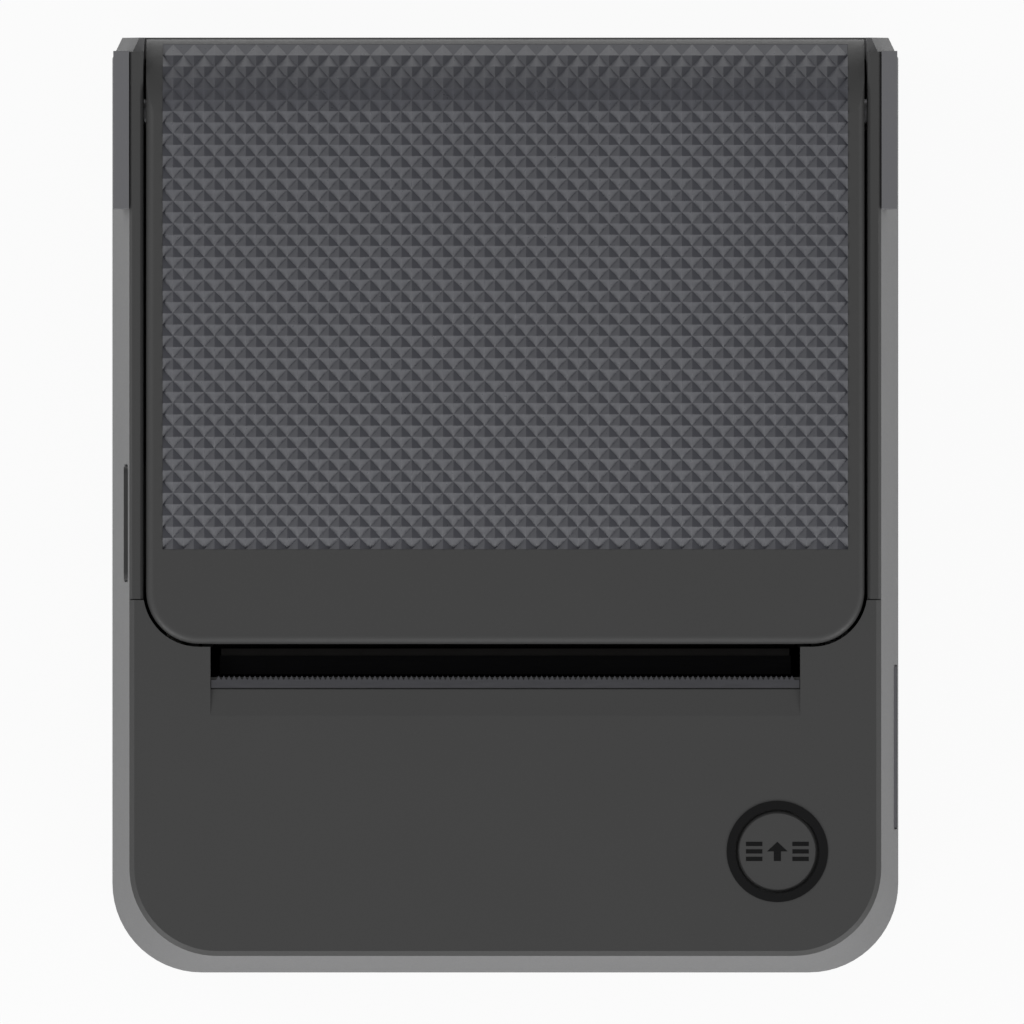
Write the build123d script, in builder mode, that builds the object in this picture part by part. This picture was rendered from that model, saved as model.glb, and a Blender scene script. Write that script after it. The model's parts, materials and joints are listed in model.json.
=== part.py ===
# Compact thermal receipt printer, seen from above with its front towards -Y
from build123d import *
import math
import os

os.makedirs("parts", exist_ok=True)

# Driving dimensions of the whole body, in millimetres
BODY_W = 110.9
BODY_L = 131.9
HALF_W = BODY_W / 2
FRONT_Y = -BODY_L / 2
REAR_Y = BODY_L / 2
LID_TOP = 63.8
TRIM_TOP = LID_TOP - 0.6
RIM_Z = TRIM_TOP - 2.8
FOOT_H = 1.2
SIDE_DRAFT = 2.8
REAR_DRAFT = 0.45
CORNER_R = 12.6
REAR_BEVEL_X = 1.4
REAR_BEVEL_Y = 2.9
WALL = 2.0
FLOOR_TOP = 3.4

# Lid and its hinge
LID_HALF = HALF_W - 5.15
LID_T = 2.0
LID_CORNER_R = 7.4
HINGE_Y = REAR_Y - 10.95
BIN_Y = HINGE_Y - 31.5
PLATEN_Y = BIN_Y - 38.5
LID_FRONT = PLATEN_Y - 4.45
HINGE_Z = LID_TOP - 10.3
LID_R = LID_TOP - HINGE_Z
SKIRT_END = -38.0
PIN_R = 2.0
SIDE_GAP = 0.44
FRONT_GAP = 0.4

# Faceted insert in the lid
INSERT_HALF = LID_HALF - 2.3
INSERT_FRONT = LID_FRONT + 13.25
INSERT_REAR = HINGE_Y + 9.6
INSERT_T = 1.0
INSERT_PROUD = 0.2

# Paper path
SLOT_HALF = LID_HALF - 9.0
SLOT_FRONT = LID_FRONT - 4.65
ROLL_R = (LID_TOP - 13.8) / 2
BIN_R = ROLL_R + 0.7
BIN_WALL = 1.5
BIN_HALF = SLOT_HALF - 0.1
BIN_Z = FLOOR_TOP + BIN_R + BIN_WALL
BARREL_R = 7.7

# Platen, print head and gear train
PLATEN_Z = LID_TOP - 8.8
PLATEN_R = 5.0
PLATEN_HALF = SLOT_HALF - 0.8
SHAFT_R = 2.5
BUSH_R = 3.6
HEAD_GAP = 0.1
CERAMIC_T = 1.0
HEAD_T = 2.6
MODULE = 0.5
PLATEN_TEETH = 16
IDLER_TEETH = 42
PINION_TEETH = 11
GEAR_SPREAD = 0.05
FRAME_IN = SLOT_HALF + 1.6
FRAME_T = 1.4
GEAR_X = -FRAME_IN - 4.6
GEAR_W = 2.5
FRAME_FRONT = PLATEN_Y - 24.5
FRAME_REAR = PLATEN_Y + 9.0
FRAME_BASE = PLATEN_Z - 33.0

# Running clearances
RUN = 0.05
LOOSE = 0.3

# Controls and sockets
FEED_X = HALF_W - 17.35
FEED_Y = FRONT_Y + 17.45
RING_R = 7.1
RING_BORE = 5.9
CAP_R = 5.6
LATCH_FRONT = BIN_Y - BIN_R - BIN_WALL + 2.3
RELEASE_Y = LATCH_FRONT - 1.15
RELEASE_HALF_L = 7.95
RELEASE_LOW = RIM_Z - 14.4
RELEASE_HIGH = RIM_Z - 4.8
RELEASE_OUT = HALF_W - 1.95
RELEASE_FLANGE = RELEASE_OUT - 3.0
LATCH_X = -LID_HALF + 3.8
LATCH_Z = RIM_Z - 16.4
LATCH_PIN_R = 1.0
LATCH_SPRING_Y = LATCH_FRONT + 6.9
PUSH_Y = LATCH_FRONT + 1.7
CATCH_Y = LATCH_FRONT + 12.4
BOARD_TOP = FRAME_BASE - 4.5
BOARD_T = 1.6
TRAY_TOP = BOARD_TOP - 3.5
BOARD_FRONT = FRONT_Y + 17.95
COVER_Y0 = BOARD_FRONT + 2.3
COVER_Y1 = COVER_Y0 + 23.2
COVER_Z0 = BOARD_TOP - 0.6
COVER_Z1 = BOARD_TOP + 8.3
COVER_OUT = HALF_W - 0.35
COVER_T = 1.1
COVER_PIN_R = 0.38
COVER_AXIS_X = COVER_OUT - COVER_T / 2
COVER_AXIS_Z = COVER_Z0 + 0.75
RECESS_X = COVER_OUT - COVER_T - 0.25
SOCKET_PAD_X = COVER_OUT - 3.3
SOCKET_FACE_X = SOCKET_PAD_X - 0.2
USB_Y = COVER_Y0 + 17.2
USB_Z = BOARD_TOP + 1.6
JACK_Y = COVER_Y0 + 6.2
JACK_Z = BOARD_TOP + 4.2

# Positions of posts and screws
FOOT_X = HALF_W - 15.45
FOOT_R = 6.1
FOOT_SUNK = 0.8
FRONT_FOOT_Y = FRONT_Y + 21.95
REAR_FOOT_Y = REAR_Y - 19.95
FEET = [(-FOOT_X, FRONT_FOOT_Y), (FOOT_X, FRONT_FOOT_Y), (-FOOT_X - 2.0, REAR_FOOT_Y), (FOOT_X + 2.0, REAR_FOOT_Y)]
SCREW_X = HALF_W - 7.95
FRONT_SCREW_Y = FRONT_Y + 11.95
REAR_SCREW_Y = REAR_Y - 8.45
CASE_SCREWS = [(x, y) for y in (FRONT_SCREW_Y, REAR_SCREW_Y) for x in (-SCREW_X, SCREW_X)]
CASE_SCREW_SEAT = TRAY_TOP - 5.0
CASE_SCREW_R = 1.5
TRAY_BOSS_R = 5.2
CASE_BOSS_R = 5.7
CASE_BOSS_H = 14.0
BOARD_IN = -FRAME_IN + 8.9
BOARD_OUT = SOCKET_PAD_X - 1.0
BOARD_REAR = PLATEN_Y
POST_FRONT_Y = BOARD_FRONT + 3.5
POST_REAR_Y = BOARD_REAR - 4.0
BOARD_POSTS = [
    (BOARD_IN + 4.0, POST_FRONT_Y),
    (BOARD_OUT - 16.8, POST_FRONT_Y),
    (BOARD_IN + 4.0, POST_REAR_Y),
    (BOARD_OUT - 4.3, POST_REAR_Y),
]
BOARD_POST_R = 2.8
FRAME_POSTS = [
    (BOARD_IN + 14.0, FRAME_FRONT + 6.5),
    (BOARD_OUT - 20.8, FRAME_FRONT + 6.5),
    (4.4 - FRAME_IN, FRAME_REAR - 4.0),
    (FRAME_IN - 4.4, FRAME_REAR - 4.0),
]
FRAME_POST_R = 3.4
POST_SCREW_R = 1.2
POST_HOLE = 8.0


def outline(z, side, front, rear, radius):
    """Plan of the body at height z, moved in by side, front and rear, with rear corners bevelled."""
    x = HALF_W - side
    f = FRONT_Y + front
    r = REAR_Y - rear
    with BuildSketch(Plane.XY.offset(z)) as plan:
        with BuildLine():
            Polyline(
                (-x, f),
                (x, f),
                (x, r - REAR_BEVEL_Y),
                (x - REAR_BEVEL_X, r),
                (-x + REAR_BEVEL_X, r),
                (-x, r - REAR_BEVEL_Y),
                close=True,
            )
        make_face()
        fillet(plan.vertices().group_by(Axis.Y)[0], radius=radius)
    return plan.sketch


def gear_plan(teeth, y, z, turn, bore):
    """Spur gear outline in the YZ plane: straight-flanked teeth, one of them at the angle turn."""
    pitch_r = teeth * MODULE / 2
    root_r = pitch_r - 1.2 * MODULE
    tip_r = pitch_r + 0.95 * MODULE
    half_pitch = math.pi * MODULE / 4 - 0.045
    half_root = half_pitch + 0.3 * MODULE
    half_tip = half_pitch - 0.38 * MODULE
    points = []
    for n in range(teeth):
        middle = math.radians(turn + n * 360 / teeth)
        for r, half in ((root_r, -half_root), (tip_r, -half_tip), (tip_r, half_tip), (root_r, half_root)):
            angle = middle + half / r
            points.append((y + r * math.cos(angle), z + r * math.sin(angle)))
    with BuildSketch(Plane.YZ.offset(GEAR_X)) as plan:
        with BuildLine():
            Polyline(*points, close=True)
        make_face()
        with Locations((y, z)):
            Circle(bore, mode=Mode.SUBTRACT)
    return plan.sketch


def lid_region(front, top, low, radius):
    """Side view of the lid: a flat top that rolls down over the hinge."""
    with BuildSketch(Plane.YZ) as view:
        with BuildLine():
            Polyline(
                (front, top - 3.5),
                (front, top),
                (HINGE_Y, top),
                (HINGE_Y, low),
                (front + 9.0, low),
                (front + 9.0, top - 3.5),
                close=True,
            )
        make_face()
        with Locations((HINGE_Y, HINGE_Z)):
            Circle(radius)
    return view.sketch


# Bottom cover: a dark tray with feet recesses, screw bosses and posts
tray_outer = loft(
    [
        outline(FOOT_H, 3.0, 3.0, 2.4, CORNER_R - 3.0),
        outline(4.2, 0.9, 0.9, 0.9, CORNER_R - 0.9),
        outline(TRAY_TOP, 0.5, 0.5, 0.5, CORNER_R - 0.5),
    ],
    ruled=True,
)
with BuildPart() as tray_cavity:
    with BuildSketch(Plane.XY.offset(FLOOR_TOP)):
        add(outline(0, 2.9, 2.9, 2.9, CORNER_R - 2.9))
    extrude(amount=TRAY_TOP)
    with BuildSketch(Plane.XY.offset(FLOOR_TOP)):
        with Locations(*CASE_SCREWS):
            Circle(TRAY_BOSS_R)
        with Locations(*BOARD_POSTS):
            Circle(BOARD_POST_R)
        with Locations(*FRAME_POSTS):
            Circle(FRAME_POST_R)
    extrude(amount=TRAY_TOP, mode=Mode.SUBTRACT)
with BuildPart() as bottom_cover:
    add(tray_outer)
    add(tray_cavity.part, mode=Mode.SUBTRACT)
    with BuildSketch(Plane.XY.offset(FLOOR_TOP)):
        with Locations(*BOARD_POSTS):
            Circle(BOARD_POST_R)
    extrude(amount=BOARD_TOP - BOARD_T - FLOOR_TOP)
    with BuildSketch(Plane.XY.offset(FLOOR_TOP)):
        with Locations(*FRAME_POSTS):
            Circle(FRAME_POST_R)
    extrude(amount=FRAME_BASE - FLOOR_TOP)
    with BuildSketch(Plane.XY.offset(BOARD_TOP - BOARD_T - POST_HOLE)):
        with Locations(*BOARD_POSTS):
            Circle(POST_SCREW_R)
    extrude(amount=POST_HOLE, mode=Mode.SUBTRACT)
    with BuildSketch(Plane.XY.offset(FRAME_BASE - POST_HOLE)):
        with Locations(*FRAME_POSTS):
            Circle(POST_SCREW_R)
    extrude(amount=POST_HOLE, mode=Mode.SUBTRACT)
    with BuildSketch(Plane.XY.offset(FOOT_H)):
        with Locations(*FEET):
            Circle(FOOT_R + 0.1)
    extrude(amount=FOOT_SUNK, mode=Mode.SUBTRACT)
    with BuildSketch(Plane.XY.offset(FOOT_H)):
        with Locations(*CASE_SCREWS):
            Circle(3.2)
    extrude(amount=CASE_SCREW_SEAT - FOOT_H, mode=Mode.SUBTRACT)
    with BuildSketch(Plane.XY.offset(FOOT_H)):
        with Locations(*CASE_SCREWS):
            Circle(CASE_SCREW_R + 0.2)
    extrude(amount=TRAY_TOP, mode=Mode.SUBTRACT)
bottom_cover.part.label = "bottom_cover"
export_step(bottom_cover.part, "parts/bottom_cover.step")

# Four rubber feet set in the tray
with BuildPart() as rubber_feet:
    with BuildSketch(Plane.XY):
        with Locations(*FEET):
            Circle(FOOT_R)
    extrude(amount=FOOT_H + FOOT_SUNK)
    chamfer(rubber_feet.edges().group_by(Axis.Z)[0], length=0.4)
rubber_feet.part.label = "rubber_feet"
export_step(rubber_feet.part, "parts/rubber_feet.step")

# Height at which the rear wall stops under the lid
REAR_CUT_Z = HINGE_Z - 6.9

# Light grey case: drafted front and sides, upright rear wall cut down under the lid
case_outer = loft(
    [outline(TRAY_TOP, 0, 0, 0, CORNER_R), outline(RIM_Z, SIDE_DRAFT, SIDE_DRAFT, REAR_DRAFT, CORNER_R - 0.3)],
    ruled=True,
)
case_inner = loft(
    [
        outline(TRAY_TOP - 1, WALL - 0.06, WALL - 0.06, WALL + 0.2, CORNER_R - WALL),
        outline(
            RIM_Z + 1,
            SIDE_DRAFT + WALL + 0.06,
            SIDE_DRAFT + WALL + 0.06,
            WALL + REAR_DRAFT + 0.2,
            CORNER_R - WALL - 0.3,
        ),
    ],
    ruled=True,
)
with BuildPart() as case_cavity:
    add(case_inner)
    with BuildSketch(Plane.XY.offset(TRAY_TOP)):
        with Locations(*CASE_SCREWS):
            Circle(CASE_BOSS_R)
    extrude(amount=CASE_BOSS_H, mode=Mode.SUBTRACT)
    with BuildSketch(Plane.YZ.offset(SOCKET_PAD_X)):
        with Locations(((COVER_Y0 + COVER_Y1) / 2, (COVER_Z0 + COVER_Z1) / 2)):
            Rectangle(COVER_Y1 - COVER_Y0 + 3.0, COVER_Z1 - COVER_Z0 + 3.0)
    extrude(amount=COVER_OUT - SOCKET_PAD_X, mode=Mode.SUBTRACT)
with BuildPart() as case_body:
    add(case_outer)
    add(case_cavity.part, mode=Mode.SUBTRACT)
    with BuildSketch(Plane.XZ.offset(-REAR_Y - 5.0)):
        with Locations((0, REAR_CUT_Z + 20.0)):
            Rectangle(2 * (LID_HALF + LOOSE), 40.0)
    extrude(amount=14.0, mode=Mode.SUBTRACT)
    with BuildSketch(Plane.XY.offset(TRAY_TOP)):
        with Locations(*CASE_SCREWS):
            Circle(CASE_SCREW_R)
    extrude(amount=CASE_BOSS_H - 3.0, mode=Mode.SUBTRACT)
    with BuildSketch(Plane.YZ.offset(-HALF_W)):
        with Locations((HINGE_Y, HINGE_Z)):
            Circle(PIN_R)
    extrude(amount=BODY_W, mode=Mode.SUBTRACT)
    with BuildSketch(Plane.YZ.offset(-HALF_W)):
        with Locations((RELEASE_Y, (RELEASE_LOW + RELEASE_HIGH) / 2)):
            RectangleRounded(2 * (RELEASE_HALF_L + LOOSE), RELEASE_HIGH - RELEASE_LOW + 2 * LOOSE, 1.5)
    extrude(amount=6.0, mode=Mode.SUBTRACT)
    with BuildSketch(Plane.YZ.offset(RECESS_X)):
        with Locations(((COVER_Y0 + COVER_Y1) / 2, (COVER_Z0 + COVER_Z1) / 2)):
            Rectangle(COVER_Y1 - COVER_Y0, COVER_Z1 - COVER_Z0)
    extrude(amount=4.0, mode=Mode.SUBTRACT)
    with BuildSketch(Plane.YZ.offset(BOARD_OUT)):
        with Locations((JACK_Y, JACK_Z)):
            Circle(3.3)
        with Locations((USB_Y, USB_Z)):
            RectangleRounded(9.6, 3.8, 1.8)
    extrude(amount=4.0, mode=Mode.SUBTRACT)
    with BuildSketch(Plane.XZ.offset(-COVER_Y0 + 1.2)):
        with Locations((COVER_AXIS_X, COVER_AXIS_Z)):
            Circle(COVER_PIN_R + 0.04)
    extrude(amount=-(COVER_Y1 - COVER_Y0 + 2.4), mode=Mode.SUBTRACT)
case_body.part.label = "case_body"
export_step(case_body.part, "parts/case_body.step")

# Dark rails on the rim, one each side of the lid
RAIL_IN = LID_HALF + SIDE_GAP
RAIL_OUT = HALF_W - SIDE_DRAFT
SEAM_Y = LID_FRONT + 6.15
RAIL_REAR = REAR_Y - 2.45
RAIL_FRONT = SEAM_Y + 0.15
with BuildPart() as top_rails:
    for side in (-1, 1):
        with BuildSketch(Plane.XY.offset(RIM_Z)):
            with Locations((side * (RAIL_IN + RAIL_OUT) / 2, (RAIL_FRONT + RAIL_REAR) / 2)):
                Rectangle(RAIL_OUT - RAIL_IN, RAIL_REAR - RAIL_FRONT)
        extrude(amount=TRIM_TOP - RIM_Z)
    chamfer(top_rails.faces().sort_by(Axis.Z)[-2:].edges().filter_by(Axis.Y), length=0.4)
top_rails.part.label = "top_rails"
export_step(top_rails.part, "parts/top_rails.step")

# Covers over the ends of the hinge pins
EAR_X = HALF_W - 1.65
EAR_FRONT = HINGE_Y - 13.5
EAR_REAR = REAR_Y - 2.35
EAR_LOW = HINGE_Z - 17.5
with BuildPart() as hinge_covers:
    for side in (-1, 1):
        with BuildSketch(Plane.YZ.offset(side * EAR_X)) as cheek:
            with BuildLine():
                Polyline(
                    (EAR_FRONT, EAR_LOW),
                    (EAR_REAR, EAR_LOW),
                    (EAR_REAR, TRIM_TOP),
                    (EAR_FRONT, TRIM_TOP),
                    close=True,
                )
            make_face()
            fillet(cheek.vertices().group_by(Axis.Y)[0], radius=10.9)
        extrude(amount=1.1, both=True)
    add(case_outer, mode=Mode.SUBTRACT)
hinge_covers.part.label = "hinge_covers"
export_step(hinge_covers.part, "parts/hinge_covers.step")

# Hinge pins through the case sides into the lid
PIN_X = HALF_W - 6.0
with BuildPart() as hinge_pins:
    for side in (-1, 1):
        with BuildSketch(Plane.YZ.offset(side * PIN_X)):
            with Locations((HINGE_Y, HINGE_Z)):
                Circle(PIN_R)
        extrude(amount=3.35, both=True)
hinge_pins.part.label = "hinge_pins"
export_step(hinge_pins.part, "parts/hinge_pins.step")

# Dark front panel with the paper slot, a shallow ramp before it and a hole for the feed button
PANEL_REAR = LID_FRONT - FRONT_GAP
BAR_LOW = TRIM_TOP - 0.8
BAR_FRONT = SLOT_FRONT - 1.5
BUTTON_BOARD_TOP = RIM_Z - 6.2
BUTTON_POSTS = [(FEED_X - 8.6, FEED_Y + 8.6), (FEED_X + 8.6, FEED_Y - 4.5)]
with BuildPart() as front_panel:
    with BuildSketch(Plane.XY.offset(RIM_Z)):
        add(outline(0, SIDE_DRAFT, SIDE_DRAFT, 0, CORNER_R - 0.3))
        with Locations((0, SEAM_Y + 50)):
            Rectangle(BODY_W, 100, mode=Mode.SUBTRACT)
    extrude(amount=TRIM_TOP - RIM_Z)
    top_face = front_panel.faces().sort_by(Axis.Z)[-1]
    chamfer(top_face.edges().filter_by(lambda e: e.center().Y < SEAM_Y - 1), length=0.7)
    with BuildSketch(Plane.XY.offset(RIM_Z - 3.0)):
        add(outline(0, SIDE_DRAFT + WALL + 0.4, SIDE_DRAFT + WALL + 0.4, 0, CORNER_R - WALL - 0.7))
        with Locations((0, PANEL_REAR - 3 + 50)):
            Rectangle(BODY_W, 100, mode=Mode.SUBTRACT)
    extrude(amount=3.0)
    with BuildSketch(Plane.XY.offset(RIM_Z - 3.0)):
        add(outline(0, SIDE_DRAFT + WALL + 1.8, SIDE_DRAFT + WALL + 1.8, 0, CORNER_R - WALL - 2.1))
        with Locations((0, 50 + PANEL_REAR)):
            Rectangle(BODY_W, 100, mode=Mode.SUBTRACT)
    extrude(amount=3.0, mode=Mode.SUBTRACT)
    with BuildSketch(Plane.XY.offset(RIM_Z)) as lid_hole:
        with Locations((0, PANEL_REAR + 20)):
            Rectangle(2 * RAIL_IN, 40)
        fillet(lid_hole.vertices().group_by(Axis.Y)[0], radius=LID_CORNER_R + 0.4)
    extrude(amount=5.0, mode=Mode.SUBTRACT)
    with BuildSketch(Plane.XY.offset(RIM_Z)):
        with Locations((0, (PANEL_REAR + 1 + SLOT_FRONT) / 2)):
            Rectangle(2 * SLOT_HALF, PANEL_REAR + 1 - SLOT_FRONT)
    extrude(amount=5.0, mode=Mode.SUBTRACT)
    with BuildSketch(Plane.YZ.offset(-SLOT_HALF)):
        with BuildLine():
            Polyline(
                (SLOT_FRONT + 0.1, BAR_LOW),
                (BAR_FRONT - 0.2, BAR_LOW),
                (BAR_FRONT - 0.2, TRIM_TOP - 0.45),
                (BAR_FRONT - 3.9, TRIM_TOP),
                (SLOT_FRONT + 0.1, TRIM_TOP),
                close=True,
            )
        make_face()
    extrude(amount=2 * SLOT_HALF, mode=Mode.SUBTRACT)
    with BuildSketch(Plane.XY.offset(RIM_Z)):
        with Locations((FEED_X, FEED_Y)):
            Circle(RING_R)
    extrude(amount=5.0, mode=Mode.SUBTRACT)
    with BuildSketch(Plane.XY.offset(RIM_Z)):
        with Locations(*BUTTON_POSTS):
            Circle(2.0)
    extrude(amount=BUTTON_BOARD_TOP - RIM_Z)
front_panel.part.label = "front_panel"
export_step(front_panel.part, "parts/front_panel.step")

# Toothed steel tear bar on its shelf
TOOTH_PITCH = 0.73
BAR_HALF = SLOT_HALF - 0.1
TOOTH_COUNT = int((2 * BAR_HALF - 1.0) / TOOTH_PITCH)
TOOTH_DEEP = 0.6
TOOTH_ROOT = BAR_FRONT + 1.1
with BuildPart() as tear_bar:
    with BuildSketch(Plane.XY.offset(BAR_LOW)):
        start = -TOOTH_COUNT * TOOTH_PITCH / 2
        edge = [(-BAR_HALF, BAR_FRONT), (-BAR_HALF, TOOTH_ROOT), (start, TOOTH_ROOT)]
        for n in range(TOOTH_COUNT):
            edge.append((start + (n + 0.5) * TOOTH_PITCH, TOOTH_ROOT + TOOTH_DEEP))
            edge.append((start + (n + 1) * TOOTH_PITCH, TOOTH_ROOT))
        edge += [(BAR_HALF, TOOTH_ROOT), (BAR_HALF, BAR_FRONT)]
        with BuildLine():
            Polyline(*edge, close=True)
        make_face()
    extrude(amount=0.5)
tear_bar.part.label = "tear_bar"
export_step(tear_bar.part, "parts/tear_bar.step")

# Roll bin: a trough round the paper roll whose rear lip curls over the hinge line
BIN_OUT = BIN_HALF + BIN_WALL
BIN_TOP = HINGE_Z - 6.5
BIN_FOOT_TOP = FLOOR_TOP + 8.6
LIP_Y = HINGE_Y - BARREL_R
with BuildPart() as roll_bin:
    with BuildSketch(Plane.YZ.offset(-BIN_OUT)):
        with Locations((BIN_Y, BIN_Z)):
            Circle(BIN_R + BIN_WALL)
        with Locations((BIN_Y, (BIN_Z + BIN_TOP) / 2)):
            Rectangle(2 * (BIN_R + BIN_WALL), BIN_TOP - BIN_Z)
        with Locations((BIN_Y, (FLOOR_TOP + BIN_FOOT_TOP) / 2)):
            Rectangle(26.0, BIN_FOOT_TOP - FLOOR_TOP)
        with Locations((HINGE_Y, HINGE_Z)):
            Circle(BARREL_R)
        with BuildLine():
            Polyline(
                (BIN_Y, HINGE_Z - 13.5),
                (BIN_Y, HINGE_Z + 2.5),
                (HINGE_Y - 2.0, HINGE_Z + 2.5),
                (LIP_Y, HINGE_Z),
                (LIP_Y - 0.25, HINGE_Z - 8.9),
                (HINGE_Y - 15.0, HINGE_Z - 13.5),
                close=True,
            )
        make_face()
        with Locations((HINGE_Y, HINGE_Z)):
            Circle(LID_R + LOOSE, mode=Mode.SUBTRACT)
    extrude(amount=2 * BIN_OUT)
    with BuildSketch(Plane.YZ.offset(-BIN_OUT)):
        with Locations((HINGE_Y, HINGE_Z)):
            Circle(BARREL_R)
        with BuildLine():
            Polyline(
                (HINGE_Y, HINGE_Z),
                (LIP_Y - 0.25, HINGE_Z - 8.9),
                (HINGE_Y - 12.0, HINGE_Z - 8.9),
                (HINGE_Y - 12.0, HINGE_Z + 2.5),
                (HINGE_Y, HINGE_Z + 2.5),
                close=True,
            )
        make_face()
        with BuildLine():
            Polyline(
                (HINGE_Y, HINGE_Z),
                (HINGE_Y + 6.0, HINGE_Z - 13.5),
                (HINGE_Y - 6.8, HINGE_Z - 13.5),
                (HINGE_Y - 6.8, HINGE_Z - 7.5),
                close=True,
            )
        make_face(mode=Mode.SUBTRACT)
    extrude(amount=2 * BIN_OUT)
    with BuildSketch(Plane.YZ.offset(-BIN_HALF)):
        with Locations((BIN_Y, BIN_Z)):
            Circle(BIN_R)
        with BuildLine():
            Polyline(
                (BIN_Y - BIN_R, BIN_Z),
                (BIN_Y - BIN_R, HINGE_Z + 16.5),
                (LIP_Y + BIN_WALL - 2.0, HINGE_Z + 16.5),
                (LIP_Y - 0.5, HINGE_Z - 2.0),
                (LIP_Y - 1.75, HINGE_Z - 9.5),
                (BIN_Y, BIN_Z),
                close=True,
            )
        make_face()
        with Locations((HINGE_Y, HINGE_Z)):
            Circle(BARREL_R, mode=Mode.SUBTRACT)
    extrude(amount=2 * BIN_HALF, mode=Mode.SUBTRACT)
    with BuildSketch(Plane.YZ.offset(-BIN_OUT)):
        with Locations((HINGE_Y, HINGE_Z)):
            Circle(BARREL_R - BIN_WALL)
    extrude(amount=2 * BIN_OUT, mode=Mode.SUBTRACT)
    # Lugs for the latch pin and a ledge for its spring, on the left side
    for y in (LATCH_FRONT - 1.7, LATCH_FRONT + 15.8):
        with BuildSketch(Plane.XZ.offset(-y)):
            with BuildLine():
                Polyline(
                    (-BIN_OUT, LATCH_Z - 6.0),
                    (LATCH_X, LATCH_Z - 2.0),
                    (LATCH_X - 1.9, LATCH_Z - 2.0),
                    (LATCH_X - 1.9, LATCH_Z + 1.5),
                    (-BIN_OUT, LATCH_Z + 1.5),
                    close=True,
                )
            make_face()
        extrude(amount=-1.4)
    with BuildSketch(Plane.XY.offset(LATCH_Z - 7.6)):
        with Locations((-BIN_OUT - 1.6, LATCH_SPRING_Y)):
            Rectangle(3.2, 6.0)
    extrude(amount=1.2)
    with BuildSketch(Plane.XZ.offset(1.8 - LATCH_FRONT)):
        with Locations((LATCH_X, LATCH_Z)):
            Circle(LATCH_PIN_R)
    extrude(amount=-25.0, mode=Mode.SUBTRACT)
roll_bin.part.label = "roll_bin"
export_step(roll_bin.part, "parts/roll_bin.step")

# Mechanism frame: two side plates, base, front wall and a shelf for the head springs
IDLER_Y = PLATEN_Y
IDLER_Z = PLATEN_Z - (PLATEN_TEETH + IDLER_TEETH) * MODULE / 2 - GEAR_SPREAD
MOTOR_TURN = 90.0 + 14 * 360.0 / IDLER_TEETH
MOTOR_REACH = (IDLER_TEETH + PINION_TEETH) * MODULE / 2 + GEAR_SPREAD
MOTOR_Y = IDLER_Y + MOTOR_REACH * math.cos(math.radians(MOTOR_TURN))
MOTOR_Z = IDLER_Z + MOTOR_REACH * math.sin(math.radians(MOTOR_TURN))
MOTOR_R = 10.0
MOTOR_NOSE_R = 3.5
MOTOR_SHAFT_R = 1.0
POST_R = 1.5
HEAD_FACE = PLATEN_Y - PLATEN_R - HEAD_GAP
HEAD_BACK = HEAD_FACE - CERAMIC_T - HEAD_T
PIVOT_Y = HEAD_FACE - CERAMIC_T - HEAD_T / 2
PIVOT_Z = PLATEN_Z - 7.8
PIVOT_R = 1.5
ROD_HALF = FRAME_IN + FRAME_T + 0.3
HEAD_HALF = PLATEN_HALF - 0.5
DOTS_HALF = PLATEN_HALF - 0.7
SPRING_TOP = PIVOT_Z - 1.2
SHELF_TOP = SPRING_TOP - 7.0
SPRING_Y = HEAD_BACK - 4.8
SPRING_X = 18.0
SHELF_LEFT = -FRAME_IN + 17.9
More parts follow.
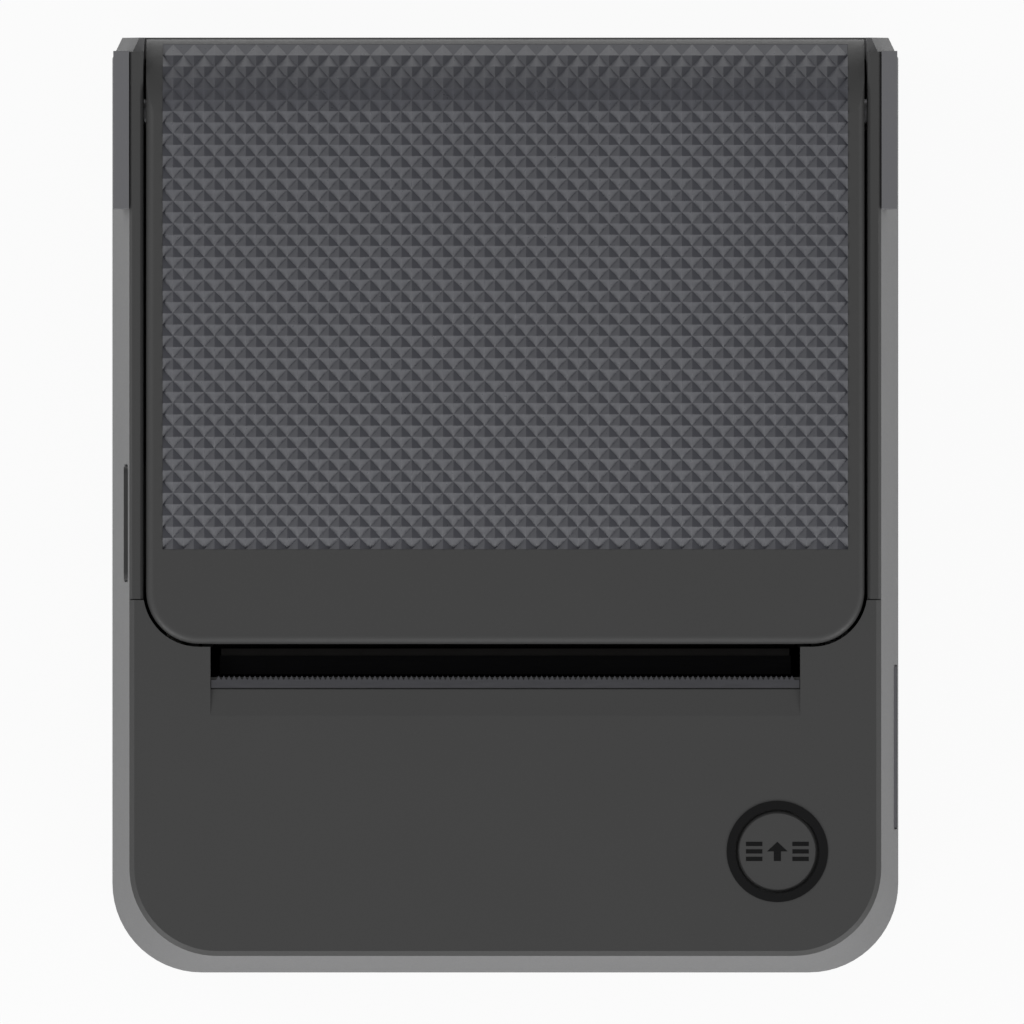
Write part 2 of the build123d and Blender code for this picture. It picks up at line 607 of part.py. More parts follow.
with BuildPart() as mechanism_frame:
    for side in (-1, 1):
        with BuildSketch(Plane.YZ.offset(side * (FRAME_IN + FRAME_T / 2))):
            with BuildLine():
                Polyline(
                    (FRAME_FRONT, FRAME_BASE),
                    (FRAME_REAR, FRAME_BASE),
                    (FRAME_REAR, PLATEN_Z - 5.0),
                    (PLATEN_Y + 5.6, PLATEN_Z + 3.6),
                    (PIVOT_Y - 4.0, PLATEN_Z + 3.6),
                    (FRAME_FRONT, PLATEN_Z - 7.0),
                    close=True,
                )
            make_face()
            with BuildLine():
                Polyline(
                    (PLATEN_Y - BUSH_R - 0.4, PLATEN_Z + 15.0),
                    (PLATEN_Y - BUSH_R - 0.4, PLATEN_Z - BUSH_R - 0.4),
                    (PLATEN_Y + BUSH_R + 0.4, PLATEN_Z - BUSH_R - 0.4),
                    (PLATEN_Y + BUSH_R + 0.6, PLATEN_Z),
                    (PLATEN_Y + BUSH_R + 6.0, PLATEN_Z + 15.0),
                    close=True,
                )
            make_face(mode=Mode.SUBTRACT)
        extrude(amount=FRAME_T / 2, both=True)
    with BuildSketch(Plane.XY.offset(FRAME_BASE)):
        with Locations((0, (FRAME_FRONT + FRAME_REAR) / 2)):
            Rectangle(2 * FRAME_IN, FRAME_REAR - FRAME_FRONT)
        with Locations((2.0, PLATEN_Y - 5.0)):
            Rectangle(58.0, 15.0, mode=Mode.SUBTRACT)
        with Locations(*FRAME_POSTS):
            Circle(POST_SCREW_R + LOOSE, mode=Mode.SUBTRACT)
    extrude(amount=FRAME_T)
    with BuildSketch(Plane.XZ.offset(-FRAME_FRONT)):
        with Locations((0, (FRAME_BASE + SHELF_TOP) / 2)):
            Rectangle(2 * FRAME_IN, SHELF_TOP - FRAME_BASE)
    extrude(amount=-FRAME_T)
    with BuildSketch(Plane.XY.offset(SHELF_TOP - FRAME_T)):
        with Locations(((SHELF_LEFT + FRAME_IN) / 2, (FRAME_FRONT + SPRING_Y + 3.0) / 2)):
            Rectangle(FRAME_IN - SHELF_LEFT, SPRING_Y + 3.0 - FRAME_FRONT)
    extrude(amount=FRAME_T)
    with BuildSketch(Plane.XY.offset(SHELF_TOP)):
        with Locations((-SPRING_X, SPRING_Y), (SPRING_X, SPRING_Y)):
            Circle(1.2)
    extrude(amount=2.0)
    with BuildSketch(Plane.XZ.offset(15.0 - PLATEN_Y)):
        with Locations((FRAME_IN + 0.1, FRAME_BASE + 2.5)):
            Rectangle(14.0, 5.6)
    extrude(amount=12.0, mode=Mode.SUBTRACT)
    with BuildSketch(Plane.YZ.offset(-HALF_W)):
        with Locations((PIVOT_Y, PIVOT_Z)):
            Circle(PIVOT_R)
    extrude(amount=BODY_W, mode=Mode.SUBTRACT)
    with BuildSketch(Plane.YZ.offset(-HALF_W)):
        with Locations((IDLER_Y, IDLER_Z)):
            Circle(POST_R)
        with Locations((MOTOR_Y, MOTOR_Z)):
            Circle(MOTOR_NOSE_R + 0.1)
    extrude(amount=HALF_W, mode=Mode.SUBTRACT)
mechanism_frame.part.label = "mechanism_frame"
export_step(mechanism_frame.part, "parts/mechanism_frame.step")

# Steel rod on which the print head tilts
with BuildPart() as head_rod:
    with BuildSketch(Plane.YZ.offset(-ROD_HALF)):
        with Locations((PIVOT_Y, PIVOT_Z)):
            Circle(PIVOT_R)
    extrude(amount=2 * ROD_HALF)
head_rod.part.label = "head_rod"
export_step(head_rod.part, "parts/head_rod.step")

# Heat sink of the print head with its rod boss and spring foot
with BuildPart() as head_plate:
    with BuildSketch(Plane.YZ.offset(-HEAD_HALF)):
        with Locations(((HEAD_BACK + HEAD_FACE - CERAMIC_T) / 2, PLATEN_Z - 1.8)):
            Rectangle(HEAD_T, 12.0)
        with Locations((PIVOT_Y, PIVOT_Z)):
            Circle(2.8)
    extrude(amount=2 * HEAD_HALF)
    with BuildSketch(Plane.XY.offset(SPRING_TOP)):
        with Locations((0, (PIVOT_Y + SPRING_Y - 2.8) / 2)):
            Rectangle(50.0, PIVOT_Y - SPRING_Y + 2.8)
    extrude(amount=1.4)
    with BuildSketch(Plane.YZ.offset(-HEAD_HALF)):
        with Locations((PIVOT_Y, PIVOT_Z)):
            Circle(PIVOT_R + RUN)
    extrude(amount=2 * HEAD_HALF, mode=Mode.SUBTRACT)
head_plate.part.label = "head_plate"
export_step(head_plate.part, "parts/head_plate.step")

# Ceramic strip with the row of heating dots
with BuildPart() as head_ceramic:
    with BuildSketch(Plane.YZ.offset(-DOTS_HALF)):
        with Locations((HEAD_FACE - CERAMIC_T / 2, PLATEN_Z - 0.4)):
            Rectangle(CERAMIC_T, 8.4)
    extrude(amount=2 * DOTS_HALF)
head_ceramic.part.label = "head_ceramic"
export_step(head_ceramic.part, "parts/head_ceramic.step")


def coil(x, y, low, high, mean_r, wire_r, turns):
    """Compression spring of round wire standing on low and reaching high."""
    rise = high - low - 2 * wire_r
    with BuildPart() as spring:
        with BuildLine() as path:
            Helix(pitch=rise / turns, height=rise, radius=mean_r, center=(x, y, low + wire_r))
        with BuildSketch(Plane(origin=path.line @ 0, z_dir=path.line % 0)):
            Circle(wire_r)
        sweep(is_frenet=True)
        # Ends ground flat
        with BuildSketch(Plane.XY.offset(low - 1.0)):
            with Locations((x, y)):
                Rectangle(4 * mean_r, 4 * mean_r)
        extrude(amount=1.02, mode=Mode.SUBTRACT)
        with BuildSketch(Plane.XY.offset(high - 0.02)):
            with Locations((x, y)):
                Rectangle(4 * mean_r, 4 * mean_r)
        extrude(amount=1.0, mode=Mode.SUBTRACT)
    return spring.part


# Two springs that press the head to the platen
with BuildPart() as head_springs:
    add(coil(-SPRING_X, SPRING_Y, SHELF_TOP, SPRING_TOP, 1.9, 0.25, 6))
    add(coil(SPRING_X, SPRING_Y, SHELF_TOP, SPRING_TOP, 1.9, 0.25, 6))
head_springs.part.label = "head_springs"
export_step(head_springs.part, "parts/head_springs.step")

# Stepper motor that turns the platen through the gears
with BuildPart() as stepper_motor:
    with BuildSketch(Plane.YZ.offset(-FRAME_IN)):
        with Locations((MOTOR_Y, MOTOR_Z)):
            Circle(MOTOR_R)
    extrude(amount=15.5)
    with BuildSketch(Plane.YZ.offset(-FRAME_IN)):
        with Locations((MOTOR_Y, MOTOR_Z)):
            SlotOverall(2 * MOTOR_R + 6.0, 7.0, rotation=150)
    extrude(amount=0.8)
    with BuildSketch(Plane.YZ.offset(-FRAME_IN - FRAME_T)):
        with Locations((MOTOR_Y, MOTOR_Z)):
            Circle(MOTOR_NOSE_R)
            Circle(MOTOR_SHAFT_R + RUN, mode=Mode.SUBTRACT)
    extrude(amount=FRAME_T)
    with BuildSketch(Plane.YZ.offset(-FRAME_IN)):
        with Locations((MOTOR_Y, MOTOR_Z)):
            Circle(MOTOR_SHAFT_R + RUN)
    extrude(amount=4.0, mode=Mode.SUBTRACT)
    chamfer(stepper_motor.faces().sort_by(Axis.X)[-1].edges(), length=0.8)
stepper_motor.part.label = "stepper_motor"
export_step(stepper_motor.part, "parts/stepper_motor.step")

# Motor shaft and its pinion
with BuildPart() as motor_shaft:
    with BuildSketch(Plane.YZ.offset(GEAR_X - 0.4)):
        with Locations((MOTOR_Y, MOTOR_Z)):
            Circle(MOTOR_SHAFT_R)
    extrude(amount=8.0)
motor_shaft.part.label = "motor_shaft"
export_step(motor_shaft.part, "parts/motor_shaft.step")
with BuildPart() as motor_pinion:
    extrude(gear_plan(PINION_TEETH, MOTOR_Y, MOTOR_Z, MOTOR_TURN - 180.0, MOTOR_SHAFT_R), amount=GEAR_W)
motor_pinion.part.label = "motor_pinion"
export_step(motor_pinion.part, "parts/motor_pinion.step")

# Idler gear on its post
with BuildPart() as idler_gear:
    extrude(gear_plan(IDLER_TEETH, IDLER_Y, IDLER_Z, 90.0 + 180.0 / IDLER_TEETH, POST_R + RUN), amount=GEAR_W)
    with BuildSketch(Plane.YZ.offset(GEAR_X - 0.1)):
        with Locations((IDLER_Y, IDLER_Z)):
            Circle(8.0)
            Circle(3.4, mode=Mode.SUBTRACT)
    extrude(amount=0.8, mode=Mode.SUBTRACT)
idler_gear.part.label = "idler_gear"
export_step(idler_gear.part, "parts/idler_gear.step")
with BuildPart() as idler_post:
    with BuildSketch(Plane.YZ.offset(GEAR_X - 0.9)):
        with Locations((IDLER_Y, IDLER_Z)):
            Circle(POST_R)
    extrude(amount=-FRAME_IN - GEAR_X + 0.9)
    with BuildSketch(Plane.YZ.offset(GEAR_X - 0.9)):
        with Locations((IDLER_Y, IDLER_Z)):
            Circle(2.6)
    extrude(amount=0.6)
idler_post.part.label = "idler_post"
export_step(idler_post.part, "parts/idler_post.step")

# Side plates of the platen bracket and the outer ends of its bearings
HOLDER_IN = SLOT_HALF - 0.3
HOLDER_OUT = HOLDER_IN + 1.5
BUSH_END = FRAME_IN + FRAME_T

# Platen: steel shaft, rubber sleeve, gear and end clip
with BuildPart() as platen_shaft:
    with BuildSketch(Plane.YZ.offset(GEAR_X - 0.4)):
        with Locations((PLATEN_Y, PLATEN_Z)):
            Circle(SHAFT_R)
    extrude(amount=BUSH_END + 1.2 - GEAR_X + 0.4)
platen_shaft.part.label = "platen_shaft"
export_step(platen_shaft.part, "parts/platen_shaft.step")
with BuildPart() as platen_rubber:
    with BuildSketch(Plane.YZ.offset(-PLATEN_HALF)):
        with Locations((PLATEN_Y, PLATEN_Z)):
            Circle(PLATEN_R)
            Circle(SHAFT_R, mode=Mode.SUBTRACT)
    extrude(amount=2 * PLATEN_HALF)
platen_rubber.part.label = "platen_rubber"
export_step(platen_rubber.part, "parts/platen_rubber.step")
with BuildPart() as platen_gear:
    extrude(gear_plan(PLATEN_TEETH, PLATEN_Y, PLATEN_Z, -90.0, SHAFT_R), amount=GEAR_W)
platen_gear.part.label = "platen_gear"
export_step(platen_gear.part, "parts/platen_gear.step")
with BuildPart() as platen_clip:
    with BuildSketch(Plane.YZ.offset(BUSH_END + 0.2)):
        with Locations((PLATEN_Y, PLATEN_Z)):
            Circle(3.5)
            Circle(SHAFT_R, mode=Mode.SUBTRACT)
        with Locations((PLATEN_Y, PLATEN_Z + 3.0)):
            Rectangle(3.0, 4.0, mode=Mode.SUBTRACT)
    extrude(amount=0.6)
platen_clip.part.label = "platen_clip"
export_step(platen_clip.part, "parts/platen_clip.step")

# Plain bearings that carry the platen shaft in the lid
with BuildPart() as platen_bearings:
    for side in (-1, 1):
        with BuildSketch(Plane.YZ.offset(side * (HOLDER_IN + BUSH_END) / 2)):
            with Locations((PLATEN_Y, PLATEN_Z)):
                Circle(BUSH_R)
                Circle(SHAFT_R + RUN, mode=Mode.SUBTRACT)
        extrude(amount=(BUSH_END - HOLDER_IN) / 2, both=True)
platen_bearings.part.label = "platen_bearings"
export_step(platen_bearings.part, "parts/platen_bearings.step")

# Bracket under the lid that holds both bearings
LID_UNDER = LID_TOP - LID_T
with BuildPart() as platen_holder:
    for side in (-1, 1):
        with BuildSketch(Plane.YZ.offset(side * (HOLDER_IN + HOLDER_OUT) / 2)):
            with BuildLine():
                Polyline(
                    (PLATEN_Y - 2.0, LID_UNDER),
                    (PLATEN_Y + 7.5, LID_UNDER),
                    (PLATEN_Y + 7.5, PLATEN_Z + 2.0),
                    (PLATEN_Y + 4.9, PLATEN_Z - 3.0),
                    (PLATEN_Y + 3.0, PLATEN_Z - 4.9),
                    (PLATEN_Y - 3.0, PLATEN_Z - 4.9),
                    (PLATEN_Y - 4.9, PLATEN_Z - 3.0),
                    (PLATEN_Y - 4.9, PLATEN_Z + 3.0),
                    (PLATEN_Y - 2.0, LID_UNDER - 1.8),
                    close=True,
                )
            make_face()
            with Locations((PLATEN_Y, PLATEN_Z)):
                Circle(BUSH_R, mode=Mode.SUBTRACT)
        extrude(amount=(HOLDER_OUT - HOLDER_IN) / 2, both=True)
    with BuildSketch(Plane.XY.offset(LID_UNDER - 1.6)):
        with Locations((0, PLATEN_Y + 5.5)):
            Rectangle(2 * HOLDER_OUT, 4.0)
    extrude(amount=1.6)
platen_holder.part.label = "platen_holder"
export_step(platen_holder.part, "parts/platen_holder.step")

# Lid shell: flat top rolling down over the hinge, with side walls, a catch on the left and a pocket for the insert
LID_LOW = LID_TOP - 33.8
with BuildPart() as lid_cavity:
    with BuildSketch(Plane.YZ.offset(-LID_HALF + LID_T)) as hollow:
        with BuildLine():
            Polyline(
                (LID_FRONT + LID_T, LID_LOW),
                (LID_FRONT + LID_T, LID_UNDER),
                (HINGE_Y, LID_UNDER),
                (HINGE_Y, LID_LOW),
                close=True,
            )
        make_face()
        with Locations((HINGE_Y, HINGE_Z)):
            Circle(LID_R - LID_T)
        end = math.radians(SKIRT_END)
        with BuildLine():
            Polyline(
                (HINGE_Y, HINGE_Z),
                (HINGE_Y + 20 * math.cos(end), HINGE_Z + 20 * math.sin(end)),
                (HINGE_Y, HINGE_Z - 20),
                (HINGE_Y - 20, HINGE_Z - 20),
                (HINGE_Y - 20, HINGE_Z),
                close=True,
            )
        make_face()
    extrude(amount=2 * (LID_HALF - LID_T))
    fillet(lid_cavity.edges().filter_by(Axis.Z).group_by(Axis.Y)[0], radius=LID_CORNER_R - LID_T)
with BuildPart() as lid_limits:
    with BuildSketch(Plane.XY.offset(LID_LOW)) as plan:
        with Locations((0, (LID_FRONT + BODY_L) / 2)):
            Rectangle(2 * LID_HALF, BODY_L - LID_FRONT)
        fillet(plan.vertices().group_by(Axis.Y)[0], radius=LID_CORNER_R)
    extrude(amount=LID_TOP - LID_LOW)
    fillet(lid_limits.faces().sort_by(Axis.Z)[-1].edges(), radius=1.1)
with BuildPart() as lid_shell:
    extrude(lid_region(LID_FRONT, LID_TOP, LID_TOP - 6.8, LID_R), amount=LID_HALF, both=True)
    add(lid_limits.part, mode=Mode.INTERSECT)
    add(lid_cavity.part, mode=Mode.SUBTRACT)
    with BuildSketch(Plane.YZ.offset(-LID_HALF + 0.3)):
        with Locations((CATCH_Y, LID_TOP - 8.2)):
            Rectangle(5.4, 5.2)
    extrude(amount=1.5)
    with BuildSketch(Plane.YZ.offset(-LID_HALF - 1.0)):
        with Locations((CATCH_Y, LID_TOP - 7.3)):
            Rectangle(3.8, 3.0)
    extrude(amount=4.0, mode=Mode.SUBTRACT)
    with BuildSketch(Plane.YZ.offset(-LID_HALF - 1.0)):
        with Locations((HINGE_Y, HINGE_Z)):
            Circle(PIN_R + RUN)
    extrude(amount=2 * LID_HALF + 2.0, mode=Mode.SUBTRACT)
    with BuildSketch(Plane.YZ.offset(-INSERT_HALF)):
        with BuildLine():
            Polyline(
                (INSERT_FRONT, LID_TOP - INSERT_T),
                (INSERT_FRONT, LID_TOP + 5.0),
                (INSERT_REAR, LID_TOP + 5.0),
                (INSERT_REAR, HINGE_Z),
                (HINGE_Y, HINGE_Z),
                (HINGE_Y, LID_TOP - INSERT_T),
                close=True,
            )
        make_face()
        with Locations((HINGE_Y, HINGE_Z)):
            Circle(LID_R - INSERT_T, mode=Mode.SUBTRACT)
    extrude(amount=2 * INSERT_HALF, mode=Mode.SUBTRACT)
lid_shell.part.label = "lid_shell"
export_step(lid_shell.part, "parts/lid_shell.step")

# Insert glued in the pocket of the lid
INSERT_R = LID_R + INSERT_PROUD
with BuildPart() as lid_insert:
    with BuildSketch(Plane.YZ.offset(-INSERT_HALF)):
        with Locations((HINGE_Y, HINGE_Z)):
            Circle(INSERT_R)
            Circle(LID_R - INSERT_T, mode=Mode.SUBTRACT)
        with Locations((HINGE_Y, HINGE_Z - 10)):
            Rectangle(80.0, 20.0, mode=Mode.SUBTRACT)
        with Locations((INSERT_REAR + 10, HINGE_Z)):
            Rectangle(20.0, 40.0, mode=Mode.SUBTRACT)
        with Locations((HINGE_Y - 20, HINGE_Z)):
            Rectangle(40.0, 40.0, mode=Mode.SUBTRACT)
        with BuildLine():
            Polyline(
                (INSERT_FRONT, LID_TOP - INSERT_T),
                (INSERT_FRONT, HINGE_Z + INSERT_R),
                (HINGE_Y, HINGE_Z + INSERT_R),
                (HINGE_Y, LID_TOP - INSERT_T),
                close=True,
            )
        make_face()
    extrude(amount=2 * INSERT_HALF)
lid_insert.part.label = "lid_insert"
export_step(lid_insert.part, "parts/lid_insert.step")

# Release button in the left side of the case
with BuildPart() as release_button:
    middle_z = (RELEASE_LOW + RELEASE_HIGH) / 2
    with BuildSketch(Plane.YZ.offset(-RELEASE_OUT)):
        with Locations((RELEASE_Y, middle_z)):
            RectangleRounded(2 * RELEASE_HALF_L, RELEASE_HIGH - RELEASE_LOW, 1.2)
    extrude(amount=RELEASE_OUT - RELEASE_FLANGE)
    with BuildSketch(Plane.YZ.offset(-RELEASE_FLANGE)):
        with Locations((RELEASE_Y, middle_z + 0.55)):
            Rectangle(2 * RELEASE_HALF_L + 1.6, RELEASE_HIGH - RELEASE_LOW + 0.3)
    extrude(amount=0.9)
    with BuildSketch(Plane.YZ.offset(-RELEASE_FLANGE)):
        with Locations((PUSH_Y, LATCH_Z + 6.5)):
            Rectangle(2.4, 3.0)
    extrude(amount=2.2)
release_button.part.label = "release_button"
export_step(release_button.part, "parts/release_button.step")

# Latch lever on its steel pin: hook for the lid, pad for the button, arm for the spring
HOOK = [(-1.1, 0.0), (-1.1, 11.4), (-3.2, 11.4), (-3.2, 12.4), (-2.4, 13.2), (0.9, 13.2), (1.5, 0.0)]
PAD = [(-1.1, 0.0), (-1.1, 8.0), (0.5, 8.0), (1.5, 0.0)]
ARM = [(0.0, 1.0), (3.3, 0.4), (3.3, -1.7), (0.0, -1.7)]
with BuildPart() as latch_lever:
    with BuildSketch(Plane.XZ.offset(-LATCH_FRONT)):
        with Locations((LATCH_X, LATCH_Z)):
            Circle(2.1)
    extrude(amount=-15.4)
    for shape, middle, width in ((HOOK, CATCH_Y, 3.2), (PAD, PUSH_Y, 3.0), (ARM, LATCH_SPRING_Y, 3.0)):
        with BuildSketch(Plane.XZ.offset(width / 2 - middle)):
            with Locations((LATCH_X, LATCH_Z)):
                Polygon(*shape, align=None)
        extrude(amount=-width)
    with BuildSketch(Plane.XZ.offset(3.6 - LATCH_FRONT)):
        with Locations((LATCH_X, LATCH_Z)):
            Circle(LATCH_PIN_R + RUN)
    extrude(amount=-25.0, mode=Mode.SUBTRACT)
latch_lever.part.label = "latch_lever"
export_step(latch_lever.part, "parts/latch_lever.step")
with BuildPart() as latch_pin:
    with BuildSketch(Plane.XZ.offset(1.8 - LATCH_FRONT)):
        with Locations((LATCH_X, LATCH_Z)):
            Circle(LATCH_PIN_R)
    extrude(amount=-19.2)
latch_pin.part.label = "latch_pin"
export_step(latch_pin.part, "parts/latch_pin.step")
with BuildPart() as latch_spring:
    add(coil(LATCH_X + 2.4, LATCH_SPRING_Y, LATCH_Z - 6.4, LATCH_Z - 1.7, 0.75, 0.17, 6))
latch_spring.part.label = "latch_spring"
export_step(latch_spring.part, "parts/latch_spring.step")

# Feed button: ring, cap, spring, switch and its small board
CAP_LOW = RIM_Z + 0.6
SWITCH_H = 3.2
with BuildPart() as button_ring:
    with BuildSketch(Plane.XY.offset(RIM_Z)):
        with Locations((FEED_X, FEED_Y)):
            Circle(RING_R)
            Circle(RING_R - LOOSE, mode=Mode.SUBTRACT)
    extrude(amount=1.9)
    with BuildSketch(Plane.XY.offset(TRIM_TOP - 1.0)):
        with Locations((FEED_X, FEED_Y)):
            Circle(RING_R)
            Circle(RING_BORE, mode=Mode.SUBTRACT)
    extrude(amount=1.1)
button_ring.part.label = "button_ring"
export_step(button_ring.part, "parts/button_ring.step")
with BuildPart() as feed_button:
    with BuildSketch(Plane.XY.offset(CAP_LOW)):
        with Locations((FEED_X, FEED_Y)):
            Circle(CAP_R + 0.9)
    extrude(amount=0.9)
    with BuildSketch(Plane.XY.offset(CAP_LOW + 0.9)):
        with Locations((FEED_X, FEED_Y)):
            Circle(CAP_R)
    extrude(amount=1.2)
    with BuildSketch(Plane.XY.offset(CAP_LOW - 2.2)):
        with Locations((FEED_X, FEED_Y)):
            Circle(1.6)
    extrude(amount=2.2)
    chamfer(feed_button.faces().sort_by(Axis.Z)[-1].edges(), length=0.3)
feed_button.part.label = "feed_button"
export_step(feed_button.part, "parts/feed_button.step")
with BuildPart() as feed_spring:
    add(coil(FEED_X, FEED_Y, BUTTON_BOARD_TOP, CAP_LOW, 5.1, 0.25, 4))
feed_spring.part.label = "feed_spring"
export_step(feed_spring.part, "parts/feed_spring.step")
with BuildPart() as button_board:
    with BuildSketch(Plane.XY.offset(BUTTON_BOARD_TOP)):
        with Locations((FEED_X, FEED_Y + 2.0)):
            Rectangle(22.0, 18.0)
    extrude(amount=-1.2)
button_board.part.label = "button_board"
export_step(button_board.part, "parts/button_board.step")
with BuildPart() as tact_switch:
    with BuildSketch(Plane.XY.offset(BUTTON_BOARD_TOP)):
        with Locations((FEED_X, FEED_Y)):
            Rectangle(6.0, 6.0)
    extrude(amount=SWITCH_H)
    with BuildSketch(Plane.XY.offset(BUTTON_BOARD_TOP + SWITCH_H)):
        with Locations((FEED_X, FEED_Y)):
            Circle(1.7)
    extrude(amount=0.8)
tact_switch.part.label = "tact_switch"
export_step(tact_switch.part, "parts/tact_switch.step")

# Main board with its parts and the two sockets
with BuildPart() as main_board:
    with BuildSketch(Plane.XY.offset(BOARD_TOP - BOARD_T)):
        with Locations(((BOARD_IN + BOARD_OUT) / 2, (BOARD_FRONT + BOARD_REAR) / 2)):
            Rectangle(BOARD_OUT - BOARD_IN, BOARD_REAR - BOARD_FRONT)
        with Locations(*FRAME_POSTS[:2]):
            Circle(FRAME_POST_R + 0.8, mode=Mode.SUBTRACT)
        with Locations(*BOARD_POSTS):
            Circle(POST_SCREW_R, mode=Mode.SUBTRACT)
    extrude(amount=BOARD_T)
main_board.part.label = "main_board"
export_step(main_board.part, "parts/main_board.step")
with BuildPart() as board_chips:
    with BuildSketch(Plane.XY.offset(BOARD_TOP)):
        with Locations((4.0, BOARD_REAR - 11.0)):
            Rectangle(12.0, 12.0)
        with Locations((-6.0, BOARD_FRONT + 12.0)):
            Rectangle(8.0, 6.0)
        with Locations((16.0, BOARD_REAR - 13.0)):
            Rectangle(9.0, 7.0)
    extrude(amount=1.4)
board_chips.part.label = "board_chips"
export_step(board_chips.part, "parts/board_chips.step")
with BuildPart() as capacitors:
    with BuildSketch(Plane.XY.offset(BOARD_TOP)):
        with Locations((BOARD_OUT - 26.8, BOARD_FRONT + 4.0), (BOARD_IN + 10.0, BOARD_FRONT + 4.0)):
            Circle(3.5)
    extrude(amount=11.0)
    fillet(capacitors.faces().group_by(Axis.Z)[-1].edges(), radius=0.6)
capacitors.part.label = "capacitors"
export_step(capacitors.part, "parts/capacitors.step")
with BuildPart() as board_connectors:
    with BuildSketch(Plane.XY.offset(BOARD_TOP)):
        with Locations((7.0, POST_FRONT_Y)):
            Rectangle(12.0, 5.0)
        with Locations((-7.0, POST_FRONT_Y)):
            Rectangle(8.0, 5.0)
    extrude(amount=5.0)
board_connectors.part.label = "board_connectors"
export_step(board_connectors.part, "parts/board_connectors.step")
with BuildPart() as usb_socket:
    with BuildSketch(Plane.YZ.offset(SOCKET_FACE_X - 7.4)):
        with Locations((USB_Y, USB_Z)):
            RectangleRounded(9.0, 3.2, 1.5)
    extrude(amount=7.4)
    with BuildSketch(Plane.YZ.offset(SOCKET_FACE_X - 6.0)):
        with Locations((USB_Y, USB_Z)):
            RectangleRounded(8.4, 2.6, 1.2)
            Rectangle(6.6, 0.7, mode=Mode.SUBTRACT)
    extrude(amount=6.0, mode=Mode.SUBTRACT)
usb_socket.part.label = "usb_socket"
export_step(usb_socket.part, "parts/usb_socket.step")
with BuildPart() as dc_jack:
    with BuildSketch(Plane.YZ.offset(SOCKET_FACE_X - 11.2)):
        with Locations((JACK_Y, JACK_Z)):
            Rectangle(9.0, 8.4)
    extrude(amount=11.2)
    with BuildSketch(Plane.YZ.offset(SOCKET_FACE_X - 9.2)):
        with Locations((JACK_Y, JACK_Z)):
            Circle(3.1)
            Circle(1.0, mode=Mode.SUBTRACT)
    extrude(amount=9.2, mode=Mode.SUBTRACT)
dc_jack.part.label = "dc_jack"
export_step(dc_jack.part, "parts/dc_jack.step")

# Rubber cover over the sockets, hinged along its lower edge
with BuildPart() as port_cover:
    inner_x = COVER_OUT - COVER_T
    top_z = COVER_Z1 - LOOSE
    with BuildSketch(Plane.XZ.offset(-COVER_Y0 - LOOSE)):
        with BuildLine():
            Polyline(
                (inner_x, COVER_AXIS_Z),
                (COVER_OUT, COVER_AXIS_Z),
                (COVER_OUT, top_z),
                (inner_x, top_z),
                close=True,
            )
        make_face()
        with Locations((COVER_AXIS_X, COVER_AXIS_Z)):
            Circle(COVER_T / 2)
    extrude(amount=-(COVER_Y1 - COVER_Y0 - 2 * LOOSE))
    with BuildSketch(Plane.XZ.offset(-COVER_Y0 + 0.8)):
        with Locations((COVER_AXIS_X, COVER_AXIS_Z)):
            Circle(COVER_PIN_R)
    extrude(amount=-(COVER_Y1 - COVER_Y0 + 1.6))
    with BuildSketch(Plane.YZ.offset(inner_x - 1.3)):
        with Locations((JACK_Y, JACK_Z)):
            Circle(2.6)
    extrude(amount=1.3)
port_cover.part.label = "port_cover"
export_step(port_cover.part, "parts/port_cover.step")


def screws(places, shoulder, head_r, head_h, shank_r, length, up):
    """Round-headed screws at places with the head's flat side at shoulder, pointing up or down."""
    with BuildPart() as made:
        with BuildSketch(Plane.XY.offset(shoulder)):
            with Locations(*places):
                Circle(head_r)
        extrude(amount=-up * head_h)
        with BuildSketch(Plane.XY.offset(shoulder)):
            with Locations(*places):
                Circle(shank_r)
        extrude(amount=up * length)
        with BuildSketch(Plane.XY.offset(shoulder - up * head_h)):
            with Locations(*places):
                Rectangle(2 * head_r - 1.4, 0.5)
                Rectangle(0.5, 2 * head_r - 1.4)
        extrude(amount=up * 0.7, mode=Mode.SUBTRACT)
    return made.part


case_screws = screws(CASE_SCREWS, CASE_SCREW_SEAT, 2.8, 2.0, CASE_SCREW_R, 15.0, 1)
case_screws.label = "case_screws"
export_step(case_screws, "parts/case_screws.step")
board_screws = screws(BOARD_POSTS, BOARD_TOP, 2.2, 1.3, POST_SCREW_R, 7.0, -1)
board_screws.label = "board_screws"
export_step(board_screws, "parts/board_screws.step")
frame_screws = screws(FRAME_POSTS, FRAME_BASE + FRAME_T, 2.4, 1.4, POST_SCREW_R, 8.0, -1)
frame_screws.label = "frame_screws"
export_step(frame_screws, "parts/frame_screws.step")
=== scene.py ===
import json
import math

